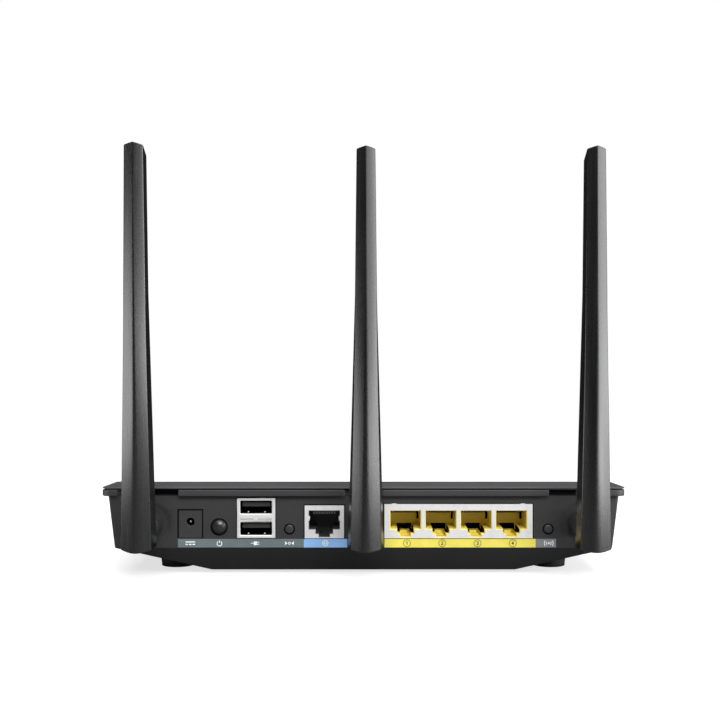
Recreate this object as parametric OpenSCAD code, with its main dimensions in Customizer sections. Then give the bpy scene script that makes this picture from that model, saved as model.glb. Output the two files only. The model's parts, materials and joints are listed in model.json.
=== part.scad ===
// Wireless router with three folding antennas.
// X runs along the rear panel, the sockets face -Y, Z is up.
// Inside the modules y = 0 is the outer face of the rear panel; from_panel() puts the part in its frame.

/* [Body] */
// Width of the cover
body_w = 207; // [200:0.5:250]
// Depth of the cover
body_d = 148.8; // [142:0.1:180]
// Height of the rear top edge above the table
rear_h = 35.45; // [34.5:0.05:44]
// Height of the crest of the top
crest_h = 34.6; // [33:0.05:43]
// Distance from the rear edge to the crest
crest_in = 30; // [20:1:50]
// Height of the front top edge
front_h = 21; // [20:0.5:28]
// Radius of the cover's corners, seen from above
corner_r = 4; // [1:0.5:12]

/* [Cover] */
// Thickness of the cover plate
plate_t = 2.2; // [1.6:0.1:3]
// Height of the plate's overhanging lip
lip_t = 0.5; // [0.4:0.05:1]
// Height of the shadow groove under the lip
groove_h = 0.45; // [0.3:0.05:1]
// Depth of the shadow groove
groove_d = 1.1; // [0.5:0.1:2]
// Height of the rim frame
rim_h = 2.5; // [2:0.1:4]
// Width of the rim frame
rim_w = 5; // [4:0.1:8]
// How far the rim stands out past the rear panel
rim_out = 2; // [1:0.1:4]
// Depth of the rim's notches over the antenna sockets
notch_d = 2.4; // [1:0.1:3]
// Half width of the two outer notches
notch_outer = 12; // [8:0.5:14]
// Half width of the middle notch
notch_middle = 7.5; // [6:0.5:7.5]

/* [Lower case] */
// Wall thickness
wall = 2; // [1.6:0.1:2.4]
// How far the sides sit inside the cover at the seam
side_in = 2.6; // [2.2:0.1:3.5]
// How far the sides sit inside the cover at the lower corner
chine_in = 5.2; // [4:0.1:8]
// Height of the lower corner of the rear panel and sides
chine_h = 11.35; // [11:0.05:12]
// Height of the flat belly
belly_h = 1.35; // [1:0.05:2]
// Width of the flat belly
belly_w = 122; // [100:1:126]
// Length of the slanted face below the rear panel
tuck = 8; // [5:0.5:12]
// Height of the lower front corner
chin_h = 9; // [7:0.5:11]
// Length of the slanted face below the front
chin = 16; // [10:1:24]
// Distance of the feet from the middle, left and right
foot_x = 77.5; // [72:0.5:80]
// Distance of the rear feet from the rear panel
foot_rear = 27; // [24:1:34]
// Distance between the rear and front feet
foot_pitch = 91; // [70:1:93]
// Radius of a foot at its lower end
foot_r = 6.8; // [6:0.1:8]
// Width of a vent slot
slot_w = 2.2; // [1.5:0.1:3]

/* [Board] */
// Height of the board's top face
board_top = 15.2; // [15:0.05:15.6]
// Thickness of the board
board_t = 1.6; // [1:0.1:2]
// Half width of the board
board_half = 92; // [88:0.5:94]
// Gap between the board and the antenna bosses behind the rear panel
board_gap = 0.2; // [0.1:0.05:0.5]
// Length of the board
board_l = 131; // [126:1:132]

/* [Sockets] */
// Middle of the power socket
dc_x = -68.5; // [-69:0.1:-68]
// Middle of the stacked USB sockets
usb_x = -42.5; // [-43:0.1:-42]
// Middle of the internet socket
wan_x = -15.5; // [-16:0.1:-15]
// Middle of the first network socket
lan_x = 16.6; // [16.4:0.1:16.8]
// Distance between network sockets
lan_pitch = 13.95; // [13.9:0.01:14.1]
// Depth of the network sockets
jack_d = 15.8; // [15:0.1:18]
// Sheet thickness of the socket shells
shell_t = 0.4; // [0.3:0.05:0.5]
// Gap between a socket and the panel
jack_gap = 0.35; // [0.2:0.05:0.4]

/* [Buttons] */
// Middle of the power button
power_x = -57.1; // [-57.5:0.1:-56.5]
// Radius of the power button
power_r = 2.95; // [2.5:0.05:3.1]
// Travel of the power button
power_travel = 1.5; // [1:0.1:1.8]
// Middle of the reset button
reset_x = -29.3; // [-29.5:0.1:-29]
// Middle of the pairing button
pair_x = 73; // [72.5:0.1:73.5]
// Radius of the two small buttons
small_r = 1.7; // [1.4:0.05:1.8]
// Travel of the two small buttons
small_travel = 0.7; // [0.5:0.1:1]
// Gap around a button
button_gap = 0.4; // [0.25:0.05:0.5]

/* [Antennas] */
// Distance between antennas
antenna_pitch = 85; // [84:0.1:85.5]
// Place of the middle antenna
antenna_x = 0.8; // [0.4:0.1:1.2]
// Height of the antenna sockets
antenna_z = 21.2; // [20.6:0.1:21.8]
// Length of a blade
blade_l = 150.1; // [110:0.1:200]
// Length of a blade below its hinge
blade_below = 6.6; // [6:0.1:8.8]
// Width of a blade at its lower end
blade_w = 13.6; // [12:0.1:14]
// Width of a blade at its waist
waist_w = 8.2; // [7.5:0.1:10]
// Height of the waist above a blade's lower end
waist_h = 98; // [80:1:110]
// Width of a blade at its tip
tip_w = 7.1; // [6:0.1:8]
// Wall thickness of a blade
blade_wall = 1.2; // [0.9:0.1:1.4]
// Distance from the panel to the tilt hinges
hinge_out = 27; // [26:0.5:32]
// Radius of the socket thread
thread_r = 3.175; // [3:0.025:3.3]
// Radial clearance of a turning fit
turn_gap = 0.05; // [0.02:0.01:0.1]
// Radius of the hinge pin
pin_r = 0.8; // [0.6:0.05:0.9]
// Lean of the left, middle and right blade
rest_lean = [5, 0, 0];
// Turn of the left, middle and right blade to the right
rest_turn = [0.7, 0, 0];

/* [Hidden] */
$fn = 48;
far = 400;
half_w = body_w / 2;
front_y = body_d - rim_out;
case_front = front_y - side_in;
crest_y = crest_in - rim_out;
rim_top = lip_t + groove_h;
seam = rim_top + rim_h;
dish_d = 1;
board_rear = wall + dish_d + board_gap;
board_bottom = board_top - board_t;
board_front = board_rear + board_l;

blade_back = hinge_out - 2.8;
blade_corner = hinge_out + 2.6;
blade_ridge = hinge_out + 5.4;
corner_half = blade_w / 2 - 1.1;
tip_cut = 28;
tongue_half = 2.2;
tongue_r = 2.6;
fold_gap = 0.35;
flange_r = thread_r + 1.125;
nut_r = thread_r + 1.425;
collar_r = 5.15;
collar_end = hinge_out - norm([2.8, blade_below]) - 0.65;
tip_z = blade_l - blade_below;
waist_z = waist_h - blade_below;

// Farthest reach of a blade's tip behind the rear panel, and the shift that centres the whole part
tip_reach = hinge_out + max([for (a = rest_lean)
    (blade_ridge - hinge_out) * cos(a) + tip_z * sin(a)]);
y_shift = (tip_reach - front_y) / 2;
antenna_xs = [for (i = [-1:1]) antenna_x + i * antenna_pitch];
foot_ys = [foot_rear, foot_rear + foot_pitch];

lan_ports = 4;
lan_margin = 8.35;
lan_x0 = lan_x - lan_margin;
lan_x1 = lan_x + (lan_ports - 1) * lan_pitch + lan_margin;
lan_h = 13.5;
wan_h = 12.95;
wan_half = 7.75;
port_half = 6.2;
port_step = 3.5;
port_latch = 2.25;
insert_in = 0.25;
port_top = 11;
port_shoulder = 3.45;
port_ledge = 1.7;
port_floor = 0.4;
jack_face = -0.3;
cavity_d = 12.6;
contact_pitch = 1.02;

usb_half = 7.6;
usb_h = 15.9;
usb_d = 17;
usb_open_w = 12.5;
usb_open_h = 5.1;
usb_floors = [1.2, 9.7];
tongue_w = 11.1;
tongue_t = 1.84;

dc_half = 4.7;
dc_h = 11.1;
dc_d = 12;
dc_z = 21.6;
dc_bore_r = 1.6;
dc_pin_r = 0.6;

power_z = 19.65;
small_z = 18.8;
label_low = chine_h + 0.2;
label_high = board_top - 0.3;
label_t = 0.15;

led_n = 9;
led_pitch = 9;
led_y = board_front - 7;

// ---------- helpers ----------

module from_panel() translate([0, y_shift, 0]) children();

module box(x, y, z) translate([x[0], y[0], z[0]]) cube([x[1] - x[0], y[1] - y[0], z[1] - z[0]]);

// A solid whose section is drawn in Y and Z, run along X
module x_run(x0, x1) translate([x0, 0, 0]) rotate([90, 0, 90]) linear_extrude(x1 - x0) children();

// A solid whose section is drawn in X and Z, run along Y
module y_run(y0, y1) translate([0, y1, 0]) rotate([90, 0, 0]) linear_extrude(y1 - y0) children();

module y_rod(x, z, y0, y1, r, r_end = undef)
    translate([x, y0, z]) rotate([-90, 0, 0]) cylinder(h = y1 - y0, r1 = r, r2 = is_undef(r_end) ? r : r_end);

module x_rod(y, z, x0, x1, r) translate([x0, y, z]) rotate([0, 90, 0]) cylinder(h = x1 - x0, r = r);

module at_antenna(i) from_panel() translate([antenna_xs[i], 0, antenna_z]) children();

module at_swivel(i) at_antenna(i) rotate([0, rest_turn[i], 0]) children();

// The inward normal of an edge of an outline that runs counter-clockwise
function inward(a, b) = [a.y - b.y, b.x - a.x] / norm(b - a);

// The outline with every edge moved inward by t
function inset(outline, t) = [
    for (i = [0:len(outline) - 1]) let (
        n = len(outline),
        q = outline[i],
        m1 = inward(outline[(i + n - 1) % n], q),
        m2 = inward(q, outline[(i + 1) % n])
    ) q + t * (m1 + m2) / (1 + m1 * m2)
];

// Height of the top surface at y: level change at the crest
function top_z(y) = y < crest_y
    ? crest_h + (rear_h - crest_h) * (crest_y - y) / crest_in
    : crest_h - (crest_h - front_h) * (y - crest_y) / (front_y - crest_y);

module rounded_plan(margin, y0, y1, w, r) {
    round = max(r - margin, 0.6);
    x = w / 2 - margin - round;
    near = y0 + margin + round;
    back = y1 - margin - round;
    translate([-x - round, near]) square([2 * (x + round), back - near]);
    translate([-x, near - round]) square([2 * x, back - near + 2 * round]);
    for (sx = [-x, x], sy = [near, back]) translate([sx, sy]) circle(r = round);
}

// A layer of the cover between two depths below the top surface
module layer(depth0, depth1, margin) intersection() {
    x_run(-half_w - 1, half_w + 1) polygon([
        for (y = [-far / 2, crest_y, far]) [y, top_z(y) - depth1],
        for (y = [far, crest_y, -far / 2]) [y, top_z(y) - depth0]
    ]);
    translate([0, 0, -far / 2]) linear_extrude(far) rounded_plan(margin, -rim_out, front_y, body_w, corner_r);
}

// ---------- shell ----------

function side_outline(raise) = [
    [tuck, belly_h], [case_front - chin, belly_h], [case_front, chin_h],
    [case_front, top_z(case_front) - seam + raise], [crest_y, top_z(crest_y) - seam + raise],
    [0, top_z(0) - seam + raise], [0, chine_h]
];

function end_outline(raise) = let (
    z1 = rear_h - seam,
    low = half_w - chine_in,
    lean = (chine_in - side_in) / (z1 - chine_h),
    high = half_w - side_in + lean * raise
) [
    [-belly_w / 2, belly_h], [belly_w / 2, belly_h], [low, chine_h],
    [high, z1 + raise], [-high, z1 + raise], [-low, chine_h]
];

// The hull of the lower case; the one moved inward by t and raised is its hollow
module hull_form(t, raise) intersection() {
    x_run(-half_w, half_w) polygon(inset(side_outline(raise), t));
    y_run(-1, front_y) polygon(inset(end_outline(raise), t));
    translate([0, 0, -1]) linear_extrude(far / 4)
        rounded_plan(t, 0, case_front, body_w - 2 * side_in + 3, corner_r - 1);
}

module at_feet() for (x = [-foot_x, foot_x], y = foot_ys) translate([x, y, 0]) children();

module jack_cutout(x0, x1, h) box([x0 - jack_gap, x1 + jack_gap], [-1, wall + 0.1],
    [board_top - 0.1, board_top + h + jack_gap]);

module lower_case() color([0.16, 0.16, 0.165]) from_panel() difference() {
    union() {
        difference() {
            hull_form(0, 0);
            hull_form(wall, 30);
        }
        at_feet() {
            translate([0, 0, 1]) cylinder(h = 7.5, r1 = foot_r, r2 = foot_r + 1);
            translate([0, 0, 4]) cylinder(h = board_bottom - 4, r = 3.6);
        }
        for (x = antenna_xs) y_rod(x, antenna_z, wall - 0.5, wall + dish_d, 7);
    }
    // Sockets and buttons in the rear panel
    jack_cutout(lan_x0, lan_x1, lan_h);
    jack_cutout(wan_x - wan_half, wan_x + wan_half, wan_h);
    jack_cutout(usb_x - usb_half, usb_x + usb_half, usb_h - jack_gap / 2);
    jack_cutout(dc_x - dc_half, dc_x + dc_half, dc_h);
    y_rod(power_x, power_z, -1, wall + 1, power_r + button_gap);
    for (x = [reset_x, pair_x]) y_rod(x, small_z, -1, wall + 1, small_r + button_gap);
    for (x = antenna_xs) {
        y_rod(x, antenna_z, -0.01, dish_d, 9, 6);
        y_rod(x, antenna_z, -1, wall + dish_d + 1, thread_r + turn_gap);
    }
    // Feet: seat of the pad, screw head and screw
    at_feet() {
        cylinder(h = 1.3, r = foot_r - 0.9);
        cylinder(h = 6, r = 3.1);
        cylinder(h = 30, r = 1.7);
    }
    // Vents in the belly
    for (i = [-9:9], y = [48, 72, 96])
        box([i * 5.2 - slot_w / 2, i * 5.2 + slot_w / 2], [y, y + 17], [0, belly_h + wall + 1]);
}

module rim_frame() color([0.24, 0.24, 0.25]) from_panel() difference() {
    layer(rim_top, seam, 0);
    layer(rim_top - 1, seam + 1, rim_w);
    for (i = [-1:1]) let (w = i == 0 ? notch_middle : notch_outer, x = i * antenna_pitch)
        box([x - w, x + w], [-rim_out - 1, notch_d - rim_out], [rear_h - seam - 1, rear_h]);
}

module led_hole(gap) for (i = [0:led_n - 1]) let (x = (i - (led_n - 1) / 2) * led_pitch)
    box([x - 1.5 - gap, x + 1.5 + gap], [led_y - 0.6 - gap, led_y + 0.6 + gap], [board_top + 3, 30]);

module top_cover() color([0.3, 0.3, 0.31]) from_panel() difference() {
    union() {
        layer(0, lip_t, 0);
        layer(0, rim_top, groove_d);
        layer(0, plate_t, rim_w + 0.2);
        intersection() {
            at_feet() translate([0, 0, board_top]) cylinder(h = 20, r = 3.4);
            layer(plate_t / 2, 30, rim_w + 0.2);
        }
    }
    at_feet() translate([0, 0, board_top - 1]) cylinder(h = top_z(foot_ys[1]) - plate_t - board_top, r = 1.25);
    led_hole(0.1);
}

module foot_pad(side, row) color([0.06, 0.06, 0.06]) from_panel()
    translate([side * foot_x, foot_ys[row], 0]) {
        cylinder(h = 1, r = foot_r);
        cylinder(h = 1.3, r = foot_r - 1.1);
    }

module case_screws() color([0.55, 0.55, 0.57]) from_panel() at_feet() {
    translate([0, 0, 6]) cylinder(h = board_top - 1, r = 1.3);
    difference() {
        translate([0, 0, 4.2]) cylinder(h = 1.8, r = 2.7);
        for (a = [0, 90]) rotate([0, 0, a]) translate([-1.5, -0.3, 3]) cube([3, 0.6, 2.2]);
    }
}

// ---------- board ----------

module circuit_board() color([0.08, 0.32, 0.2]) from_panel() difference() {
    box([-board_half, board_half], [board_rear, board_front], [board_bottom, board_top]);
    at_feet() translate([0, 0, board_bottom - 1]) cylinder(h = board_t + 2, r = 1.7);
}

module heatsink() color([0.6, 0.61, 0.63]) from_panel() difference() {
    box([-12, 12], [72, 100], [board_top, board_top + 7]);
    for (i = [-4:4]) box([i * 2.5 - 0.75, i * 2.5 + 0.75], [71, 101], [board_top + 2, board_top + 8]);
}

module shield_can(side) color([0.7, 0.7, 0.68]) from_panel() difference() {
    translate([side * 32, 0, 0]) box([-16, 16], [72, 102], [board_top, board_top + 3]);
    translate([side * 32, 0, 0]) box([-15.6, 15.6], [72.4, 101.6], [board_top - 1, board_top + 2.6]);
}

module capacitors() color([0.25, 0.3, 0.5]) from_panel()
    for (i = [0:3]) translate([-58 + 9 * i, 30, board_top]) cylinder(h = 8, r = 3.15);

// ---------- network sockets ----------

// The opening of a network socket: body, ledge and latch slot, made smaller by t
module port_outline(t) {
    low = board_top + port_floor + t;
    translate([-port_half + t, board_top + port_shoulder + t])
        square([2 * (port_half - t), port_top - port_shoulder - 2 * t]);
    translate([-port_step + t, board_top + port_ledge + t]) square([2 * (port_step - t), 5]);
    translate([-port_latch + t, low]) square([2 * (port_latch - t), 5]);
}

module jack_shell(x0, x1, h, xs) difference() {
    box([x0, x1], [jack_face, jack_d], [board_top, board_top + h]);
    box([x0 + shell_t, x1 - shell_t], [jack_face + shell_t, jack_d - shell_t],
        [board_top - 1, board_top + h - shell_t]);
    for (x = xs) translate([x, 0, 0]) y_run(jack_face - 1, jack_face + 1) port_outline(0);
}

module jack_insert(x0, x1, h, xs) difference() {
    box([x0 + shell_t, x1 - shell_t], [jack_face + shell_t, jack_d - shell_t],
        [board_top, board_top + h - shell_t]);
    for (x = xs) translate([x, 0, 0]) y_run(jack_face - 1, cavity_d) port_outline(insert_in);
}

// Eight spring wires that slope from the ceiling to the back of a socket
module jack_wires(xs) {
    ceiling = board_top + port_top - insert_in;
    for (x = xs, i = [0:7]) let (w = x + (i - 3.5) * contact_pitch)
        x_run(w - 0.2, w + 0.2) polygon([
            [1.2, ceiling], [1.2, ceiling - 0.7], [cavity_d, ceiling - 2.2],
            [cavity_d, ceiling - 1.8], [2.4, ceiling - 0.4], [2.4, ceiling]
        ]);
}

lan_xs = [for (i = [0:lan_ports - 1]) lan_x + i * lan_pitch];

module lan_shell() color([0.86, 0.86, 0.85]) from_panel() jack_shell(lan_x0, lan_x1, lan_h, lan_xs);

module lan_insert() color([0.8, 0.68, 0.2]) from_panel() jack_insert(lan_x0, lan_x1, lan_h, lan_xs);

module lan_contacts() color([0.75, 0.6, 0.3]) from_panel() jack_wires(lan_xs);

module wan_shell() color([0.8, 0.8, 0.79]) from_panel()
    jack_shell(wan_x - wan_half, wan_x + wan_half, wan_h, [wan_x]);

module wan_insert() color([0.08, 0.08, 0.08]) from_panel()
    jack_insert(wan_x - wan_half, wan_x + wan_half, wan_h, [wan_x]);

module wan_contacts() color([0.75, 0.6, 0.3]) from_panel() jack_wires([wan_x]);

// ---------- USB and power sockets ----------

module usb_shell() color([0.88, 0.88, 0.87]) from_panel() difference() {
    box([usb_x - usb_half, usb_x + usb_half], [jack_face, usb_d], [board_top, board_top + usb_h]);
    for (z = usb_floors)
        box([usb_x - usb_open_w / 2, usb_x + usb_open_w / 2], [jack_face - 1, usb_d - 0.4],
            [board_top + z, board_top + z + usb_open_h]);
}

module usb_tongues() color([0.1, 0.1, 0.1]) from_panel() for (z = usb_floors) {
    top = board_top + z + usb_open_h - 0.6;
    box([usb_x - tongue_w / 2, usb_x + tongue_w / 2], [1.4, usb_d - 3], [top - tongue_t, top]);
    box([usb_x - usb_open_w / 2, usb_x + usb_open_w / 2], [usb_d - 4, usb_d - 0.4],
        [board_top + z, board_top + z + usb_open_h]);
}

module usb_contacts() color([0.8, 0.65, 0.3]) from_panel() for (z = usb_floors, i = [-1.5:1.5]) {
    low = board_top + z + usb_open_h - 0.6 - tongue_t;
    box([usb_x + i * 2.3 - 0.5, usb_x + i * 2.3 + 0.5], [2, usb_d - 4], [low - 0.15, low]);
}

module dc_jack() color([0.14, 0.14, 0.14]) from_panel() difference() {
    box([dc_x - dc_half, dc_x + dc_half], [0.2, dc_d], [board_top, board_top + dc_h]);
    y_rod(dc_x, dc_z, 0, dc_d - 2, dc_bore_r);
}

module dc_pin() color([0.8, 0.78, 0.72]) from_panel() {
    y_rod(dc_x, dc_z, 1.2, dc_d - 2, dc_pin_r);
    translate([dc_x, 1.2, dc_z]) intersection() {
        sphere(r = dc_pin_r);
        box([-1, 1], [-1, 0], [-1, 1]);
    }
}

// ---------- buttons ----------

// A button that stands through the panel, with a flange behind it and a stem to its switch
module button(x, z, r, crown) {
    dome_r = (r * r + crown * crown) / (2 * crown);
    spread = asin(r / dome_r);
    translate([x, 0, z]) rotate([-90, 0, 0]) rotate_extrude() polygon(concat(
        [[0, -crown]],
        [for (k = [1:8]) let (a = spread * k / 8) [dome_r * sin(a), dome_r * (1 - cos(a)) - crown]],
        [[r, wall + 0.3], [r + 0.9, wall + 0.3], [r + 0.9, wall + 1.2], [1, wall + 1.2], [1, 7], [0, 7]]
    ));
}

module switch_body(x, z, travel) {
    box([x - 3, x + 3], [7.3 + travel, 13 + travel], [board_top, z + 3]);
}

module power_button() color([0.2, 0.2, 0.2]) from_panel() button(power_x, power_z, power_r, 1.4);

module power_switch() color([0.12, 0.12, 0.13]) from_panel() switch_body(power_x, power_z, power_travel);

module reset_button() color([0.18, 0.18, 0.18]) from_panel() button(reset_x, small_z, small_r, 0.4);

module reset_switch() color([0.12, 0.12, 0.13]) from_panel() switch_body(reset_x, small_z, small_travel);

module pairing_button() color([0.18, 0.18, 0.18]) from_panel() button(pair_x, small_z, small_r, 0.4);

module pairing_switch() color([0.12, 0.12, 0.13]) from_panel() switch_body(pair_x, small_z, small_travel);

// ---------- labels and lights ----------

module label(x0, x1) from_panel() box([x0, x1], [-label_t, 0], [label_low, label_high]);

module label_left() color([0.4, 0.45, 0.46]) label(dc_x - dc_half - 0.2, wan_x - wan_half - 0.35);

module label_internet() color([0.5, 0.7, 0.92]) label(wan_x - wan_half - 0.35, wan_x + wan_half + 1.3);

module label_network() color([0.93, 0.88, 0.35]) label(lan_x0 + 0.05, lan_x1 + 1.2);

module label_pairing() color([0.5, 0.52, 0.54]) label(lan_x1 + 1.2, pair_x + 3.1);

module light_pipe() color([0.9, 0.92, 0.95, 0.6]) from_panel() {
    span = (led_n - 1) / 2 * led_pitch + 4;
    box([-span, span], [led_y - 2, led_y + 2], [board_top + 1.8, board_top + 3.2]);
    for (x = [-span, span - 2]) box([x, x + 2], [led_y - 2, led_y + 2], [board_top, board_top + 2]);
    intersection() {
        led_hole(0);
        layer(0.15, 30, rim_w);
    }
}

module leds() color([0.95, 0.95, 0.85]) from_panel()
    for (i = [0:led_n - 1]) let (x = (i - (led_n - 1) / 2) * led_pitch)
        box([x - 0.8, x + 0.8], [led_y - 0.6, led_y + 0.6], [board_top, board_top + 0.9]);

// ---------- antennas ----------

module antenna_jack(i) color([0.78, 0.66, 0.36]) at_antenna(i) {
    y_rod(0, 0, -9.2, 6.5, thread_r);
    y_rod(0, 0, -0.8, dish_d, flange_r);
    y_rod(0, 0, 6.5, 10, 1.5);
}

module jack_nut(i) color([0.8, 0.7, 0.42]) at_antenna(i) difference() {
    translate([0, wall + dish_d + 2.2, 0]) rotate([90, 0, 0]) cylinder(h = 2.2, r = nut_r, $fn = 6);
    y_rod(0, 0, wall, wall + dish_d + 3, thread_r + turn_gap / 2);
}

// A point at share s of a cubic curve
function curve(p, s) = pow(1 - s, 3) * p[0] + 3 * s * pow(1 - s, 2) * p[1] + 3 * s * s * (1 - s) * p[2] + pow(s, 3) * p[3];

// A closed round tube along a path that never runs straight along Z
module tube(path, r, sides = 8) {
    last = len(path) - 1;
    rings = [for (k = [0:last]) let (
        ahead = path[min(k + 1, last)] - path[max(k - 1, 0)],
        t = ahead / norm(ahead),
        u = cross(t, [0, 0, 1]) / norm(cross(t, [0, 0, 1])),
        v = cross(t, u)
    ) for (a = [0:sides - 1]) path[k] + r * (cos(360 * a / sides) * u + sin(360 * a / sides) * v)];
    walls = [for (k = [0:last - 1], a = [0:sides - 1]) let (b = (a + 1) % sides)
        [k * sides + b, k * sides + a, (k + 1) * sides + a, (k + 1) * sides + b]];
    ends = [[for (a = [0:sides - 1]) a], [for (a = [sides - 1:-1:0]) last * sides + a]];
    polyhedron(points = rings, faces = concat(walls, ends));
}

// The coaxial lead inside the case, from an antenna socket to its connector on the board
module pigtail(i) color([0.1, 0.1, 0.1]) from_panel() {
    side = i - 1;
    x = antenna_xs[i];
    end_x = side == 0 ? -8 : side * 46;
    low = board_top + 2;
    plug_y = 64;
    control = [[x, 10.05, antenna_z], [x, 42, antenna_z], [x, 44, low], [end_x, plug_y - 0.05, low]];
    tube([for (k = [0:14]) curve(control, k / 14)], 0.7);
    box([end_x - 1.6, end_x + 1.6], [plug_y, plug_y + 3], [board_top, board_top + 2.8]);
}

// Half width of a blade at height z over its hinge
function blade_half(z) = z < waist_z
    ? (blade_w + (waist_w - blade_w) * (z + blade_below) / waist_h) / 2
    : (waist_w + (tip_w - waist_w) * (z - waist_z) / (tip_z - waist_z)) / 2;

module collar(i) color([0.13, 0.13, 0.14]) at_swivel(i) difference() {
    union() {
        rotate([90, 0, 0]) rotate_extrude() polygon([
            [0, 1.2], [collar_r - 0.6, 1.2], [collar_r, 1.8], [collar_r, 12], [collar_r - 0.5, 12.6],
            [collar_r - 0.5, collar_end - 0.5], [collar_r - 1, collar_end], [0, collar_end]
        ]);
        box([-tongue_half, tongue_half], [-hinge_out, 0.5 - collar_end], [-tongue_r, tongue_r]);
        x_rod(-hinge_out, 0, -tongue_half, tongue_half, tongue_r);
    }
    y_rod(0, 0, -9.8, 0, thread_r + turn_gap);
    x_rod(-hinge_out, 0, -3, 3, pin_r - 0.01);
}

module hinge_pin(i) color([0.7, 0.7, 0.72]) at_swivel(i) x_rod(-hinge_out, 0, -4, 4, pin_r);

// Places a blade's own axes, with the hinge at the origin, in the rear panel's
module at_hinge(i) at_swivel(i) translate([0, -hinge_out, 0]) rotate([rest_lean[i], 0, 0]) children();

module blade(i) color([0.17, 0.17, 0.18]) at_hinge(i) {
    sag = 1.2;
    arc_r = (blade_w * blade_w / 4 + sag * sag) / (2 * sag);
    back = hinge_out - blade_back;
    corner = hinge_out - blade_corner;
    ridge = hinge_out - blade_ridge;
    difference() {
        intersection() {
            // Section: flat back, drafted sides and a low ridge
            translate([0, 0, -blade_below]) linear_extrude(blade_l) polygon([
                [-blade_w / 2, back], [-corner_half, corner], [0, ridge],
                [corner_half, corner], [blade_w / 2, back]
            ]);
            // Outline: tapered, with a curved lower end
            y_run(ridge - 1, back + 1) polygon([
                for (a = [-1:0.25:1]) let (x = a * blade_w / 2)
                    [x, arc_r - blade_below - sqrt(arc_r * arc_r - x * x)],
                [waist_w / 2, waist_z], [tip_w / 2, tip_z], [-tip_w / 2, tip_z], [-waist_w / 2, waist_z]
            ]);
            // Tip: cut on a slant that drops toward the back
            x_run(-blade_w, blade_w) polygon([
                [ridge, -blade_below - 1], [back, -blade_below - 1],
                [back, tip_z - (back - ridge) * tan(tip_cut)], [ridge, tip_z]
            ]);
        }
        // Hollow for the radiator
        y_run(corner + 0.6, back - blade_wall) polygon([
            for (z = [tongue_r + 4, waist_z, tip_z - 8]) [blade_half(z) - blade_wall - 0.4, z],
            for (z = [tip_z - 8, waist_z, tongue_r + 4]) [blade_wall + 0.4 - blade_half(z), z]
        ]);
        // Fork for the collar's tongue
        box([-tongue_half - 0.3, tongue_half + 0.3], [-tongue_r - fold_gap, back + 1],
            [-blade_below - 1, tongue_r + fold_gap]);
        x_rod(0, 0, -4.2, 4.2, pin_r + turn_gap);
    }
}

module radiator(i) color([0.75, 0.6, 0.25]) at_hinge(i)
    box([-1.4, 1.4], [0, hinge_out - blade_back - blade_wall],
        [tongue_r + 5, min(tongue_r + 115, tip_z - 12)]);

// ---------- nodes ----------

lower_case();
rim_frame();
top_cover();
foot_pad(-1, 0);  // foot_pad_rear_left
foot_pad(1, 0);  // foot_pad_rear_right
foot_pad(-1, 1);  // foot_pad_front_left
foot_pad(1, 1);  // foot_pad_front_right
case_screws();
circuit_board();
heatsink();
shield_can(-1);  // shield_can_left
shield_can(1);  // shield_can_right
capacitors();
lan_shell();
lan_insert();
lan_contacts();
wan_shell();
wan_insert();
wan_contacts();
usb_shell();
usb_tongues();
usb_contacts();
dc_jack();
dc_pin();
power_button();
power_switch();
reset_button();
reset_switch();
pairing_button();
pairing_switch();
label_left();
label_internet();
label_network();
label_pairing();
light_pipe();
leds();
antenna_jack(0);  // antenna_jack_left
antenna_jack(1);  // antenna_jack_middle
antenna_jack(2);  // antenna_jack_right
jack_nut(0);  // jack_nut_left
jack_nut(1);  // jack_nut_middle
jack_nut(2);  // jack_nut_right
pigtail(0);  // pigtail_left
pigtail(1);  // pigtail_middle
pigtail(2);  // pigtail_right
collar(0);  // collar_left
collar(1);  // collar_middle
collar(2);  // collar_right
hinge_pin(0);  // hinge_pin_left
hinge_pin(1);  // hinge_pin_middle
hinge_pin(2);  // hinge_pin_right
blade(0);  // blade_left
blade(1);  // blade_middle
blade(2);  // blade_right
radiator(0);  // radiator_left
radiator(1);  // radiator_middle
radiator(2);  // radiator_right
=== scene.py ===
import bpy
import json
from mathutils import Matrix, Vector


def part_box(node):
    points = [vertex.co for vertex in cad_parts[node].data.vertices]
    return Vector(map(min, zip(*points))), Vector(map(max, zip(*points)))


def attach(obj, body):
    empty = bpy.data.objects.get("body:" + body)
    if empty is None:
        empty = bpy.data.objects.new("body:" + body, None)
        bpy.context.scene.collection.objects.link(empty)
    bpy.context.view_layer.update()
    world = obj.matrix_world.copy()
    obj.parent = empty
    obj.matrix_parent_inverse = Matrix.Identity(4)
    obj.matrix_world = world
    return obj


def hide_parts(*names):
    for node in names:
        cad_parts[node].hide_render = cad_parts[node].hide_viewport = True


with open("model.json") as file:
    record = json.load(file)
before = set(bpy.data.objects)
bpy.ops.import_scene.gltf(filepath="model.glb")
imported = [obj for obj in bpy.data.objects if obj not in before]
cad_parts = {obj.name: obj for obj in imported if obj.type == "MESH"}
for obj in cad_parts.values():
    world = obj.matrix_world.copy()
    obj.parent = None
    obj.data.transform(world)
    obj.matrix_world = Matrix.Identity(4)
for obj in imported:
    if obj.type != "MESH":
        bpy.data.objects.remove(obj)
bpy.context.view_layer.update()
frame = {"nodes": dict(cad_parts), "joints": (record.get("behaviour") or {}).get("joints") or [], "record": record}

import json
import math

import bmesh
import bpy
import numpy as np
from mathutils import Vector

MM = 0.001
SIDES = ("left", "middle", "right")
JOINTS = {joint["name"]: joint for joint in frame["joints"]}


def corners(node):
    """Lowest and highest corner of a CAD node in millimetres."""
    low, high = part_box(node)
    return np.array(low) / MM, np.array(high) / MM


def middle(node):
    """Middle of a CAD node's box in millimetres."""
    low, high = corners(node)
    return (low + high) / 2


PANEL_Y = corners("lower_case")[0][1]
BOARD_TOP = corners("circuit_board")[1][2]


# ---------------------------------------------------------------- camera

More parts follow.
